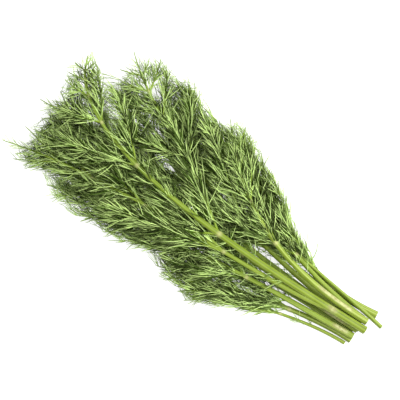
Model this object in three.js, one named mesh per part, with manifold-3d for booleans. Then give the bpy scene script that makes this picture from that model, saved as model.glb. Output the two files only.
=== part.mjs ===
// A bunch of fresh dill, cut and lying on a flat surface. Thirteen leafy stems lie side by side in
// three layers at their cut ends and fan out into feathery leaves. Each leaf is a rachis with pairs of
// pinnae, and each pinna is a slim core with whorls of thread-like leaflets.
// Millimetres. +X runs along the bunch towards the cut ends and +Z is up. The origin is the middle of
// the bunch's box, on the surface that it lies on.
import * as THREE from "three";
import Module from "manifold-3d";

const wasm = await Module();
wasm.setup();

// Driving dimensions
const HALF_LENGTH = 151; // no tip or cut end reaches past the bunch's box
const HALF_WIDTH = 70;
const HEIGHT = 50;
const RACHIS_TIP_RADIUS = 0.6;
const GAP = 0.35; // between two leafy stems, wherever they pass
const OWN_GAP = 0.1; // between leaflets of one leafy stem
const ROOT_SHARE = 0.35; // a leaflet leaves its own core and whorl over this share of its length
const ROOT_ROOM = 0.6; // and is this far from their middles past it

// Leaf architecture
const PAIR_RATIO = 0.63; // each pair of pinnae leaves this share of the way to the leaf's tip
const PINNA_SHARE = [0.52, 0.85]; // a pinna's length, as a share of the way to the tip, first and last
const WHORL_RATIO = 0.62; // each whorl leaves this share of the way to the pinna's tip
const WHORL_PITCH = 15; // a pinna has one whorl for each of these lengths
const MOST_WHORLS = 5;
const WHORL_HALF = 0.6; // half the length of core that a whorl stands on
const LEAFLET_SHARE = 0.6; // a leaflet's length, as a share of the way to the pinna's tip
const LEAFLET_LENGTH = [11, 25];
const LEAFLET_RADIUS = 0.42; // the mean one, for keeping clear
const CORE_RADIUS = [0.8, 0.55]; // a pinna's core at its root and at its last whorl
const TRIES = 14;

const STOUT_RADIUS = 2.15; // a rachis from this radius up has eight sides, a thinner one six
const RACHIS_STEPS = 10;
const GREEN = 0x6f9a35;

// Each leafy stem has one leaf, or two that part at a node low on the stem. A leaf's path is a cubic
// curve from the cut end, or from the branching point on the leaf before it, to the leaf's tip.
// first is where along the path the first pair of pinnae grows, and pairs how many there are. spread is
// the pinnae's angle to the rachis at the first pair and at the last, and rise their slope up or down.
const LEAFY_STEMS = [
  {
    name: "leafy_stem_1",
    leaves: [
      {
        radius: 2.9,
        path: [[142.5, -6.9, 11.6], [40, -13.5, 25], [-118, -23.5, 46], [-135, 38.5, 30]],
        first: 0.37,
        pairs: 6,
        spread: [26, 62],
        rise: [-22, 8],
      },
      {
        radius: 1.9,
        from: 0.09,
        path: [[66, -23.5, 21], [-60, -17.5, 34], [-151, -48, 16]],
        first: 0.4,
        pairs: 4,
        spread: [17, 24],
        rise: [-24, 8],
      },
    ],
  },
  {
    name: "leafy_stem_2",
    leaves: [
      {
        radius: 2.6,
        path: [[139.8, -1.1, 11.2], [70, -6.5, 20], [15, 10.5, 38], [-26, 61, 27]],
        first: 0.46,
        pairs: 4,
        spread: [22, 34],
        rise: [-22, 10],
      },
    ],
  },
  {
    name: "leafy_stem_3",
    leaves: [
      {
        radius: 2.2,
        path: [[137.5, -5.6, 6.3], [60, -8.5, 8], [-60, 16.5, 30], [-111, 60, 20]],
        first: 0.42,
        pairs: 5,
        spread: [26, 58],
        rise: [-14, 14],
      },
    ],
  },
  {
    name: "leafy_stem_4",
    leaves: [
      {
        radius: 2.4,
        path: [[137.9, -15.4, 6.4], [80, -22.5, 12], [0, -25.5, 24], [-58, -57, 10]],
        first: 0.45,
        pairs: 5,
        spread: [20, 24],
        rise: [-16, 10],
      },
    ],
  },
  {
    name: "leafy_stem_5",
    leaves: [
      {
        radius: 2.7,
        path: [[143.4, 7, 2.2], [96, -1.5, 1.9], [71, 10, 6], [20, 39.5, 8]],
        first: 0.42,
        pairs: 4,
        spread: [4, 24],
        rise: [0, 24],
      },
      {
        radius: 1.8,
        from: 0.3,
        path: [[88, 6, 4.5], [45, 18.5, 9.5], [-4, 50, 10]],
        first: 0.24,
        pairs: 4,
        spread: [14, 26],
        rise: [0, 22],
      },
    ],
  },
  {
    name: "leafy_stem_6",
    leaves: [
      {
        radius: 1.5,
        path: [[151, 1.7, 7], [90, 10.1, 9.9], [-6, 5.5, 8], [-76, 63, 7]],
        first: 0.42,
        pairs: 4,
        spread: [20, 28],
        rise: [0, 22],
      },
    ],
  },
  {
    name: "leafy_stem_7",
    leaves: [
      {
        radius: 2.3,
        path: [[138.7, -18.7, 2], [95, -20.5, 2], [45, -39, 8], [-8, -57, 5]],
        first: 0.36,
        pairs: 5,
        spread: [14, 24],
        rise: [0, 20],
      },
    ],
  },
  {
    name: "leafy_stem_8",
    leaves: [
      {
        radius: 1.3,
        path: [[136.3, -23, 1], [100, -25.5, 1], [60, -40.5, 3], [12, -61, 4]],
        first: 0.44,
        pairs: 3,
        spread: [8, 24],
        rise: [0, 18],
      },
    ],
  },
  {
    name: "leafy_stem_9",
    leaves: [
      {
        radius: 2.2,
        path: [[139, -8.9, 1.9], [50, -9.5, 2], [-60, -0.5, 18], [-147, -8, 8]],
        first: 0.34,
        pairs: 5,
        spread: [20, 34],
        rise: [-8, 18],
      },
    ],
  },
  {
    name: "leafy_stem_10",
    leaves: [
      {
        radius: 2.2,
        path: [[136, -13.7, 1.9], [70, -15.5, 2], [-20, -23, 12], [-107, -56, 6]],
        first: 0.32,
        pairs: 5,
        spread: [14, 24],
        rise: [0, 20],
      },
    ],
  },
  {
    name: "leafy_stem_11",
    leaves: [
      {
        radius: 2.1,
        path: [[137, -0.6, 1.8], [60, -0.5, 2], [-30, 9.5, 14], [-104, 31.5, 12]],
        first: 0.32,
        pairs: 5,
        spread: [24, 36],
        rise: [-5, 20],
      },
    ],
  },
  {
    name: "leafy_stem_12",
    leaves: [
      {
        radius: 2,
        path: [[138, -10.4, 6.2], [50, -14.5, 8], [-50, -15.5, 22], [-134, -22.5, 14]],
        first: 0.36,
        pairs: 5,
        spread: [22, 32],
        rise: [-12, 12],
      },
    ],
  },
  {
    name: "leafy_stem_13",
    leaves: [
      {
        radius: 2,
        path: [[138, -0.8, 6.2], [70, 2, 10.5], [14, 20.5, 20], [-13, 60, 14]],
        first: 0.36,
        pairs: 5,
        spread: [20, 28],
        rise: [-10, 18],
      },
    ],
  },
];

// Seeded numbers from 0 to 1, the same on every run.
function draws(seed) {
  let state = Math.imul(seed, 2654435761) >>> 0;
  const next = () => {
    state = (Math.imul(state, 1664525) + 1013904223) >>> 0;
    return state / 4294967296;
  };
  next();
  return (low, high) => low + (high - low) * next();
}

const radians = THREE.MathUtils.degToRad;
const mix = THREE.MathUtils.lerp;
const UP = new THREE.Vector3(0, 0, 1);

// The least distance between the segments a and b, each with its start p and its run d.
function segmentDistance(a, b) {
  const rx = a.p.x - b.p.x;
  const ry = a.p.y - b.p.y;
  const rz = a.p.z - b.p.z;
  const aa = a.d.x * a.d.x + a.d.y * a.d.y + a.d.z * a.d.z;
  const bb = b.d.x * b.d.x + b.d.y * b.d.y + b.d.z * b.d.z;
  const ab = a.d.x * b.d.x + a.d.y * b.d.y + a.d.z * b.d.z;
  const ar = a.d.x * rx + a.d.y * ry + a.d.z * rz;
  const br = b.d.x * rx + b.d.y * ry + b.d.z * rz;
  const clamp = (v) => Math.min(1, Math.max(0, v));
  const denominator = aa * bb - ab * ab;
  let s = denominator > 1e-9 ? clamp((ab * br - ar * bb) / denominator) : 0;
  let t = (ab * s + br) / bb;
  if (t < 0) {
    t = 0;
    s = clamp(-ar / aa);
  } else if (t > 1) {
    t = 1;
    s = clamp((ab - ar) / aa);
  }
  return Math.hypot(
    rx + a.d.x * s - b.d.x * t,
    ry + a.d.y * s - b.d.y * t,
    rz + a.d.z * s - b.d.z * t,
  );
}

// Every strand placed so far, as round-ended segments that later ones keep clear of.
const placed = [];

function strand(start, end, radius, owner) {
  return { p: start.clone(), d: end.clone().sub(start), radius, ...owner };
}

function strandsAlong(points, radii, owner) {
  return points
    .slice(1)
    .map((q, i) => strand(points[i], q, Math.max(radii[i], radii[i + 1]), owner));
}

// A strand without its root, which touches its neighbours there.
function pastRoot({ p, d }) {
  return { p: p.clone().addScaledVector(d, ROOT_SHARE), d: d.clone().multiplyScalar(1 - ROOT_SHARE) };
}

// Whether a new strand misses every other leafy stem, and a new leaflet its own stem's leaflets and the
// core that it grows from.
function isClear(candidate) {
  return placed.every((other) => {
    const room = candidate.radius + other.radius;
    if (other.stem !== candidate.stem) return segmentDistance(candidate, other) >= room + GAP;
    if (!candidate.leaflet) return true;
    if (!other.leaflet) {
      return other.spray !== candidate.spray || segmentDistance(pastRoot(candidate), other) >= ROOT_ROOM;
    }
    if (other.whorl !== candidate.whorl) return segmentDistance(candidate, other) >= room + OWN_GAP;
    return segmentDistance(pastRoot(candidate), pastRoot(other)) >= ROOT_ROOM;
  });
}

function keepInBox(point, margin = 0) {
  point.x = THREE.MathUtils.clamp(point.x, margin - HALF_LENGTH, HALF_LENGTH);
  point.y = THREE.MathUtils.clamp(point.y, margin - HALF_WIDTH, HALF_WIDTH - margin);
  point.z = THREE.MathUtils.clamp(point.z, margin, HEIGHT - margin);
  return point;
}

// The way along a curve at u, with the level and the upward directions across it.
function frameAt(curve, u) {
  const along = curve.getTangent(u);
  const side = UP.clone().cross(along).normalize();
  const up = along.clone().cross(side);
  return { point: curve.getPoint(u), along, side, up };
}

function across(frame, azimuth) {
  return frame.side
    .clone()
    .multiplyScalar(Math.cos(azimuth))
    .addScaledVector(frame.up, Math.sin(azimuth));
}

// A closed mesh under construction.
class Skin {
  constructor() {
    this.points = [];
    this.triangles = [];
  }
  add(point) {
    return this.points.push(point) - 1;
  }
  ring(frame, radius, sides, turn) {
    return Array.from({ length: sides }, (_, k) => {
      const spoke = across(frame, turn + (2 * Math.PI * k) / sides);
      return this.add(frame.point.clone().addScaledVector(spoke, radius));
    });
  }
  startCap(ring) {
    for (let k = 1; k < ring.length - 1; k++) this.triangles.push([ring[0], ring[k + 1], ring[k]]);
  }
  span(rear, front) {
    rear.forEach((a, k) => {
      const n = (k + 1) % rear.length;
      this.triangles.push([a, rear[n], front[n]], [a, front[n], front[k]]);
    });
  }
  point(ring, apex) {
    const tip = this.add(apex);
    ring.forEach((a, k) => this.triangles.push([a, ring[(k + 1) % ring.length], tip]));
  }
  // Draws a facet out to a point, as a three-sided leaflet.
  raise(index, apex) {
    const [a, b, c] = this.triangles[index];
    const tip = this.add(apex);
    this.triangles.splice(index, 1, [a, b, tip]);
    this.triangles.push([b, c, tip], [c, a, tip]);
  }
  solid() {
    return new wasm.Manifold(
      new wasm.Mesh({
        numProp: 3,
        vertProperties: new Float32Array(this.points.flatMap((p) => [p.x, p.y, p.z])),
        triVerts: new Uint32Array(this.triangles.flat()),
      }),
    );
  }
}

// The core has three faces, and each bears two leaflets of a whorl, one behind and one in front. Faces
// that look sideways bear a wide and a narrow leaflet, and one that looks up or down bears two middling
// ones. In degrees, veer is how far a leaflet turns round the core from its face's middle, and angle is
// how far it leans away from the core.
const CORE_SIDES = 3;
const SIDE_LEAFLETS = [
  { veer: 12, angle: [32, 48], share: 1 },
  { veer: -12, angle: [14, 25], share: 0.95 },
];
const LEVEL_LEAFLETS = [
  { veer: 15, angle: [24, 38], share: 0.8 },
  { veer: -15, angle: [14, 25], share: 0.8 },
];
const AZIMUTH_JITTER = 15;
const RIDGE_UP = 90; // the core's ridge is on top at its root
const WHORL_TURN = 60; // and turns back by this at each whorl after the first

function whorlPlaces(length) {
  const count = THREE.MathUtils.clamp(Math.round(length / WHORL_PITCH), 1, MOST_WHORLS);
  const first = length > 40 ? 0.26 : 0.3;
  return Array.from({ length: count }, (_, j) => 1 - (1 - first) * WHORL_RATIO ** j);
}

// The six leaflets of a whorl, in the order of the core's facets.
function whorlLeaflets(turn) {
  return Array.from({ length: CORE_SIDES }, (_, k) => turn + (360 / CORE_SIDES) * (k + 0.5)).flatMap(
    (middle) => {
      const kinds = Math.abs(Math.cos(radians(middle))) > 0.5 ? SIDE_LEAFLETS : LEVEL_LEAFLETS;
      return kinds.map((kind) => ({ ...kind, azimuth: middle + kind.veer }));
    },
  );
}

// A pinna, or the leaf's own tip: a slim three-sided core that ends in a point, with its whorls.
function spray(curve, length, seed, owner) {
  const draw = draws(seed);
  const skin = new Skin();
  const places = whorlPlaces(length);
  const coreRadius = (u) => mix(...CORE_RADIUS, u);
  const start = frameAt(curve, 0);
  let rear = skin.ring(start, coreRadius(0), CORE_SIDES, radians(RIDGE_UP));
  skin.startCap(rear);
  const whorls = [];
  for (const [j, u] of places.entries()) {
    const frame = frameAt(curve, u);
    const step = frame.along.clone().multiplyScalar(WHORL_HALF);
    const behind = { ...frame, point: frame.point.clone().sub(step) };
    const ahead = { ...frame, point: frame.point.clone().add(step) };
    const turn = RIDGE_UP - WHORL_TURN * j;
    const first = skin.ring(behind, coreRadius(u), CORE_SIDES, radians(turn));
    const second = skin.ring(ahead, coreRadius(u), CORE_SIDES, radians(turn));
    skin.span(rear, first);
    whorls.push({ frame, u, kinds: whorlLeaflets(turn), facets: skin.triangles.length });
    skin.span(first, second);
    rear = second;
  }
  skin.point(rear, keepInBox(curve.getPoint(1)));
  for (const [j, whorl] of whorls.entries()) {
    const reach = (1 - whorl.u) * length * LEAFLET_SHARE;
    for (const [f, kind] of whorl.kinds.entries()) {
      for (let attempt = 0; attempt < TRIES; attempt++) {
        const azimuth = radians(kind.azimuth + draw(-AZIMUTH_JITTER, AZIMUTH_JITTER));
        const angle = radians(draw(...kind.angle));
        const long = THREE.MathUtils.clamp(reach, ...LEAFLET_LENGTH) * kind.share * draw(0.8, 1.1);
        const apex = keepInBox(
          whorl.frame.point
            .clone()
            .addScaledVector(whorl.frame.along, Math.cos(angle) * long)
            .addScaledVector(across(whorl.frame, azimuth), Math.sin(angle) * long),
        );
        const leaflet = strand(whorl.frame.point, apex, LEAFLET_RADIUS, {
          ...owner,
          spray: seed,
          leaflet: true,
          whorl: seed * 10 + j,
        });
        if (!isClear(leaflet)) continue;
        placed.push(leaflet);
        skin.raise(whorl.facets + f, apex);
        break;
      }
    }
  }
  return skin.solid();
}

// A pinna's curve: out from the rachis at an angle, then leaning towards the leaf's tip.
function pinnaCurve(frame, length, turn, slope, lean) {
  const out = frame.along
    .clone()
    .multiplyScalar(Math.cos(turn))
    .addScaledVector(frame.side, Math.sin(turn))
    .addScaledVector(UP, Math.tan(slope))
    .normalize();
  const onward = out.clone().lerp(frame.along, lean).normalize();
  const elbow = frame.point.clone().addScaledVector(out, length * 0.5);
  const tip = elbow.clone().addScaledVector(onward, length * 0.5);
  return new THREE.QuadraticBezierCurve3(
    frame.point.clone(),
    keepInBox(elbow, CORE_RADIUS[0]),
    keepInBox(tip, 0),
  );
}

const CORE_SAMPLES = 6;

function coreStrands(curve, owner) {
  const points = curve.getPoints(CORE_SAMPLES);
  return strandsAlong(points, Array(points.length).fill(CORE_RADIUS[0]), owner);
}

// Draws pinnae until one misses every other leafy stem, and shortens it when none does.
function placePinna(frame, reach, sideSign, leaf, share, seed, owner) {
  const draw = draws(seed);
  for (let attempt = 0; attempt < 4 * TRIES; attempt++) {
    const length = reach * draw(0.88, 1.06) * 0.85 ** Math.floor(attempt / TRIES);
    const turn = radians(mix(...leaf.spread, share) + draw(-7, 7)) * sideSign;
    const slope = radians(draw(...leaf.rise));
    const curve = pinnaCurve(frame, length, turn, slope, draw(0.1, 0.5));
    const strands = coreStrands(curve, { ...owner, spray: seed });
    if (!strands.every(isClear)) continue;
    placed.push(...strands);
    return { curve, length, seed };
  }
  return null;
}

function pairPlaces(leaf) {
  return Array.from({ length: leaf.pairs }, (_, k) => 1 - (1 - leaf.first) * PAIR_RATIO ** k);
}

const rachisRadius = (leaf, t) => mix(leaf.radius, RACHIS_TIP_RADIUS, t);

// A leaf's stalk and rachis, from the cut end or the branching point to the last pair of pinnae.
function rachis(leaf) {
  const skin = new Skin();
  const end = pairPlaces(leaf).at(-1);
  const sides = leaf.radius >= STOUT_RADIUS ? 8 : 6;
  const points = [];
  const radii = [];
  let rear = null;
  for (let i = 0; i <= RACHIS_STEPS; i++) {
    const t = (end * i) / RACHIS_STEPS;
    const frame = frameAt(leaf.curve, t);
    const radius = rachisRadius(leaf, t);
    const ring = skin.ring(frame, radius, sides, Math.PI / sides);
    if (rear) skin.span(rear, ring);
    else skin.startCap(ring);
    rear = ring;
    points.push(frame.point);
    radii.push(radius);
  }
  const last = frameAt(leaf.curve, end);
  skin.point(rear, last.point.clone().addScaledVector(last.along, radii.at(-1)));
  return { solid: skin.solid(), points, radii };
}

const vector = (p) => new THREE.Vector3(...p);

// 1. Every stalk and rachis, which lie where the table says.
LEAFY_STEMS.forEach((stem, s) => {
  stem.leaves.forEach((leaf, l) => {
    const controls = leaf.path.map(vector);
    if (leaf.from !== undefined) controls.unshift(stem.leaves[l - 1].curve.getPoint(leaf.from));
    leaf.curve = new THREE.CubicBezierCurve3(...controls);
    leaf.rachis = rachis(leaf);
    placed.push(...strandsAlong(leaf.rachis.points, leaf.rachis.radii, { stem: s }));
  });
});

// The rest of a leaf's own curve past its last pair of pinnae.
class CurveEnd extends THREE.Curve {
  constructor(curve, from) {
    super();
    this.curve = curve;
    this.from = from;
  }
  getPoint(u, target) {
    return this.curve.getPoint(mix(this.from, 1, u), target);
  }
}

// 2. The pinnae's curves, in pairs, and the leaf's tip.
LEAFY_STEMS.forEach((stem, s) => {
  stem.leaves.forEach((leaf, l) => {
    leaf.sprays = [];
    const tip = leaf.curve.getPoint(1);
    const places = pairPlaces(leaf);
    places.forEach((t, k) => {
      const frame = frameAt(leaf.curve, t);
      const share = k / (places.length - 1);
      const reach = mix(...PINNA_SHARE, share) * frame.point.distanceTo(tip);
      for (const sideSign of [-1, 1]) {
        const seed = 1000 * (s + 1) + 100 * l + 10 * k + sideSign + 2;
        const made = placePinna(frame, reach, sideSign, leaf, share, seed, { stem: s });
        if (made) leaf.sprays.push(made);
      }
    });
    const last = places.at(-1);
    const curve = new CurveEnd(leaf.curve, last);
    const seed = 1000 * (s + 1) + 100 * l + 99;
    placed.push(...coreStrands(curve, { stem: s, spray: seed }));
    leaf.sprays.push({ curve, length: leaf.curve.getPoint(last).distanceTo(tip), seed });
  });
});

// 3. The leaflets, and each leafy stem joined into one solid that ends flat on the surface.
const floor = new THREE.BoxGeometry(4 * HALF_LENGTH, 4 * HALF_WIDTH, HEIGHT);
floor.translate(0, 0, -HEIGHT / 2);

function solidOf(geometry) {
  const position = geometry.getAttribute("position");
  const corners = new Map();
  const merged = [];
  const renumber = Array.from({ length: position.count }, (_, i) => {
    const p = [position.getX(i), position.getY(i), position.getZ(i)];
    const key = p.join();
    if (!corners.has(key)) corners.set(key, merged.push(p) - 1);
    return corners.get(key);
  });
  return new wasm.Manifold(
    new wasm.Mesh({
      numProp: 3,
      vertProperties: new Float32Array(merged.flat()),
      triVerts: new Uint32Array(Array.from(geometry.index.array, (i) => renumber[i])),
    }),
  );
}

function geometryOf(solid) {
  const mesh = solid.getMesh();
  const geometry = new THREE.BufferGeometry();
  geometry.setAttribute("position", new THREE.BufferAttribute(mesh.vertProperties, 3));
  geometry.setIndex(new THREE.BufferAttribute(mesh.triVerts, 1));
  geometry.computeVertexNormals();
  return geometry;
}

const bunch = new THREE.Group();
const surface = solidOf(floor);
const dillGreen = new THREE.MeshStandardMaterial({ color: GREEN, roughness: 0.55, metalness: 0 });

LEAFY_STEMS.forEach((stem, s) => {
  const pieces = stem.leaves.flatMap((leaf) => [
    leaf.rachis.solid,
    ...leaf.sprays.map(({ curve, length, seed }) => spray(curve, length, seed, { stem: s })),
  ]);
  const whole = wasm.Manifold.union(pieces).subtract(surface);
  const mesh = new THREE.Mesh(geometryOf(whole), dillGreen);
  mesh.name = stem.name;
  bunch.add(mesh);
});

export default bunch;
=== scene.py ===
"""A bunch of fresh dill: ribbed stalks side by side at their cut ends, with feathery leaves."""

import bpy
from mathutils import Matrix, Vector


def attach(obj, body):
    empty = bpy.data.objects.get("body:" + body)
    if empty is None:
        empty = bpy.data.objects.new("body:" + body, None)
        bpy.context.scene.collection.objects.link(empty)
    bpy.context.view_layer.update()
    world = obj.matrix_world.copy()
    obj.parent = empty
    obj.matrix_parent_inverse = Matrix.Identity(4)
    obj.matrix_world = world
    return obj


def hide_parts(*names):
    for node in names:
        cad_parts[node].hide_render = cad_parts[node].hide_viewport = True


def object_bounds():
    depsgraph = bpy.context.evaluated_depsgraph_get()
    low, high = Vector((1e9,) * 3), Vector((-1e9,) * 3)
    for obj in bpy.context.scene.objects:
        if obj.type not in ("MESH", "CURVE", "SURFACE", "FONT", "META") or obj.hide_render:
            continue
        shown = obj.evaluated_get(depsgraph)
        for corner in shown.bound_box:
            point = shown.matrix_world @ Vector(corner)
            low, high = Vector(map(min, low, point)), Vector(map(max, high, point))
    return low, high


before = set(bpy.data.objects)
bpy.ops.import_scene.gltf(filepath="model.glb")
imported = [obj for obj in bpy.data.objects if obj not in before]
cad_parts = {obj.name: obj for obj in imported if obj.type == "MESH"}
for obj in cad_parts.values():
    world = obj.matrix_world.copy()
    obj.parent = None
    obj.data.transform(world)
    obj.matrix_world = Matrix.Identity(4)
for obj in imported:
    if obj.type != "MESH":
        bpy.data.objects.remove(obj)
CAD_BOX = [list(corner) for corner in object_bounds()]

import math

import bpy
import numpy as np

MM = 0.001  # the tables and the sizes below are in millimetres, as the solids are
UP = np.array([0.0, 0.0, 1.0])

# ---------------------------------------------------------------- sizes and rules of the solids
HALF_LENGTH = 151.0  # of the bunch's box
HALF_WIDTH = 70.0
HEIGHT = 50.0
RACHIS_TIP_RADIUS = 0.6
RACHIS_STEPS = 10
GAP = 0.35  # between two leafy stems, wherever they pass
OWN_GAP = 0.1  # between leaflets of one leafy stem
ROOT_SHARE = 0.35  # a leaflet leaves its own core and whorl over this share of its length
ROOT_ROOM = 0.6  # and is this far from their middles past it
TRIES = 14
PAIR_RATIO = 0.63  # each pair of pinnae leaves this share of the way to the leaf's tip
PINNA_SHARE = (0.52, 0.85)  # a pinna's length, of the way to the tip, at the first and last pair
PINNA_JITTER = (0.88, 1.06)  # of that length
SHORTENING = 0.85  # of it again, each time that TRIES places weren't clear
TURN_JITTER = 7  # degrees
LEAN = (0.1, 0.5)  # how far a pinna's outer half leans towards the leaf's tip
WHORL_RATIO = 0.62  # each whorl leaves this share of the way to the pinna's tip
WHORL_PITCH = 15  # a pinna has one whorl for each of these lengths
MOST_WHORLS = 5
LONG_PINNA = 40
FIRST_WHORL = (0.26, 0.3)  # of the way along a pinna longer than that, or a shorter one
LEAFLET_SHARE = 0.6  # a leaflet's length, of the way to the pinna's tip
LEAFLET_LENGTH = (11, 25)
LEAFLET_JITTER = (0.8, 1.1)
LEAFLET_RADIUS = 0.42
CORE_RADIUS = 0.8  # of a pinna, for keeping clear
CORE_SAMPLES = 6
# Two leaflets grow from each face of a pinna's three-sided core: how far each turns round the core
# from the face's middle, how far it leans away from the core, in degrees, and its share of length.
SIDE_LEAFLETS = [(12, (32, 48), 1), (-12, (14, 25), 0.95)]
LEVEL_LEAFLETS = [(15, (24, 38), 0.8), (-15, (14, 25), 0.8)]
FACE_MIDDLES = (60, 180, 300)
AZIMUTH_JITTER = 15
RIDGE_UP = 90  # the core's ridge is on top at its root
WHORL_TURN = 60  # and turns back by this at each whorl after the first


def leaf(radius, path, first, pairs, spread, rise, start=None):
    """One leaf: its stalk's radius, the cubic curve it follows, and how its pinnae grow.

    start is where it branches from the leaf before it, along that leaf, and None at a cut end.
    """
    return {
        "radius": radius,
        "path": path,
        "first": first,
        "pairs": pairs,
        "spread": spread,
        "rise": rise,
        "from": start,
    }


LEAFY_STEMS = [
    [
        leaf(2.9, [(142.5, -6.9, 11.6), (40, -13.5, 25), (-118, -23.5, 46), (-135, 38.5, 30)],
             0.37, 6, (26, 62), (-22, 8)),
        leaf(1.9, [(66, -23.5, 21), (-60, -17.5, 34), (-151, -48, 16)],
             0.4, 4, (17, 24), (-24, 8), start=0.09),
    ],
    [leaf(2.6, [(139.8, -1.1, 11.2), (70, -6.5, 20), (15, 10.5, 38), (-26, 61, 27)],
          0.46, 4, (22, 34), (-22, 10))],
    [leaf(2.2, [(137.5, -5.6, 6.3), (60, -8.5, 8), (-60, 16.5, 30), (-111, 60, 20)],
          0.42, 5, (26, 58), (-14, 14))],
    [leaf(2.4, [(137.9, -15.4, 6.4), (80, -22.5, 12), (0, -25.5, 24), (-58, -57, 10)],
          0.45, 5, (20, 24), (-16, 10))],
    [
        leaf(2.7, [(143.4, 7, 2.2), (96, -1.5, 1.9), (71, 10, 6), (20, 39.5, 8)],
             0.42, 4, (4, 24), (0, 24)),
        leaf(1.8, [(88, 6, 4.5), (45, 18.5, 9.5), (-4, 50, 10)],
             0.24, 4, (14, 26), (0, 22), start=0.3),
    ],
    [leaf(1.5, [(151, 1.7, 7), (90, 10.1, 9.9), (-6, 5.5, 8), (-76, 63, 7)],
          0.42, 4, (20, 28), (0, 22))],
    [leaf(2.3, [(138.7, -18.7, 2), (95, -20.5, 2), (45, -39, 8), (-8, -57, 5)],
          0.36, 5, (14, 24), (0, 20))],
    [leaf(1.3, [(136.3, -23, 1), (100, -25.5, 1), (60, -40.5, 3), (12, -61, 4)],
          0.44, 3, (8, 24), (0, 18))],
    [leaf(2.2, [(139, -8.9, 1.9), (50, -9.5, 2), (-60, -0.5, 18), (-147, -8, 8)],
          0.34, 5, (20, 34), (-8, 18))],
    [leaf(2.2, [(136, -13.7, 1.9), (70, -15.5, 2), (-20, -23, 12), (-107, -56, 6)],
          0.32, 5, (14, 24), (0, 20))],
    [leaf(2.1, [(137, -0.6, 1.8), (60, -0.5, 2), (-30, 9.5, 14), (-104, 31.5, 12)],
          0.32, 5, (24, 36), (-5, 20))],
    [leaf(2, [(138, -10.4, 6.2), (50, -14.5, 8), (-50, -15.5, 22), (-134, -22.5, 14)],
          0.36, 5, (22, 32), (-12, 12))],
    [leaf(2, [(138, -0.8, 6.2), (70, 2, 10.5), (14, 20.5, 20), (-13, 60, 14)],
          0.36, 5, (20, 28), (-10, 18))],
]

# ---------------------------------------------------------------- finer forms, for the render only
FIRST_SEED = 400  # of the draws that only the render needs
# Stalks
RIBS = 12  # along a stalk
STALK_SIDES = 2 * RIBS
RIB_DEPTH = 0.05  # of the stalk's radius
STALK_RINGS = 110
NODE_SWELL = 0.14  # how much a stalk thickens where pinnae grow, of its radius
NODE_HALF = 1.4  # half the length of that swelling
NODE_RINGS = (-0.008, 0, 0.008)  # more rings there, as shares of the leaf's path
STREAK_SPREAD = 0.3  # between the ribs, from dark to pale
TONES = (0.5, 0.35, 0.6, 0.85, 0.45, 0.9, 0.8, 0.55, 0.9, 0.95, 1.0, 0.6, 0.7)  # darker near 1
# Sheaths and membranes near the cut ends: the leafy stem, where each begins and ends from the cut,
# the angle round the stalk of its middle, up being 90, and its half width.
SHEATHS = [
    (1, (24, 34), 110, 75),
    (2, (12, 46), 125, 55),
    (4, (3, 19), 110, 60),
    (5, (34, 42), 80, 80),
    (12, (8, 30), 70, 60),
]
SHEATH_SWELL = 0.07  # how much a sheath thickens the stalk, of its radius
SHEATH_FADE = 4.0  # the length over which its ends fade
SHEATH_FULL = 1.5  # its sides fade over the outer two thirds of its half width
# A cut end: its rings' radii, of the stalk's, and how much each is pith
CUT_RINGS = np.array([1.0, 0.84, 0.5])
CUT_PITH = (0.0, 0.45, 1.0)
PITH_DEPTH = 0.35
PITH_DISH = 1.2  # the middle's depth, of that
# The cores of the pinnae
CORE_SIDES = 6
CORE_RINGS = 14
CORE_ROOT = 0.62  # its radius, to which each millimetre of length adds CORE_GROWTH
CORE_GROWTH = 0.0042
CORE_TIP = 0.28
CORE_TAPER = 0.8
CORE_ALONG = 0.55  # a core begins with the colour that a stalk has here along it
# Pinnules, more of them than the solids have
PINNULE_PITCH = 1.6  # between the extra whorls of pinnules along a pinna
PINNULE_SPAN = (0.08, 0.97)  # where the first and the last of them grow
PINNULE_COVER = 0.9  # of a pinna's length has them
LEAST_PLACES = 6  # for them along a pinna
PINNULE_CHANCE = (0.3, 1.0)  # of each of them where the bunch is thick and where it is thin
PINNULE_ANGLE = (7, 22)  # away from the pinna
PINNULE_REACH = (14, 35)
PINNULE_BEND = 0.1  # of a pinnule's length
PINNULE_BOW = 0.05  # of its length, back along its pinna
PINNULE_STEPS = 4
PLACE_JITTER = 0.01  # of the pinna's or rachis's length
AZIMUTH_SPREAD = 26  # degrees, round the pinna or rachis
REACH_SHARE = (0.6, 1.0)  # of the reach, for each pinnule and twig
# The angles round a pinna or rachis where pinnules grow, for one place and the next; up is 90
PINNA_SIDES = ((0, 180, 25), (0, 180, 205))
RACHIS_SIDES = ((-10, 190), (-50, 230))
RACHIS_TOP = ((60, 115), (90, 70))
TUFT_SIDES = ((0, 90, 180), (40, 140, 270))
RACHIS_START = 0.45  # where a rachis's own short pinnules begin, of the way to its first pair
RACHIS_PITCH = 3.0  # between them
LEAST_RACHIS_PLACES = 3  # for them
RACHIS_REACH = (9, 15)
RACHIS_FINE = 0.5  # how fine they are, from 0 to 1
BARE_ABOVE = 1  # the leafy stem whose rachises have no pinnules on top
BARE = 90.0  # the stalks are bare past here
TUFT_STEM = 8  # this leafy stem has a tuft of short pinnules
TUFT_PLACES = np.repeat((0.24, 0.27, 0.30, 0.33), 4)
# Twigs, which grow from the pinnules
TWIG_PLACES = (0.1, 0.25, 0.42, 0.6)  # along a pinnule
TWIG_JITTER = 0.06
TWIG_ANGLE = (5, 14)  # away from the pinnule
TWIG_LEAST = 8.0  # the length that a twig has besides its share of the pinnule
TWIG_BOW = 0.2  # how much wider apart it starts
TWIG_RADIUS = 0.8  # of the pinnules' radius
TWIG_STEPS = 3
FLATNESS = 0.3  # how far twigs spread up and down, against sideways
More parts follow.
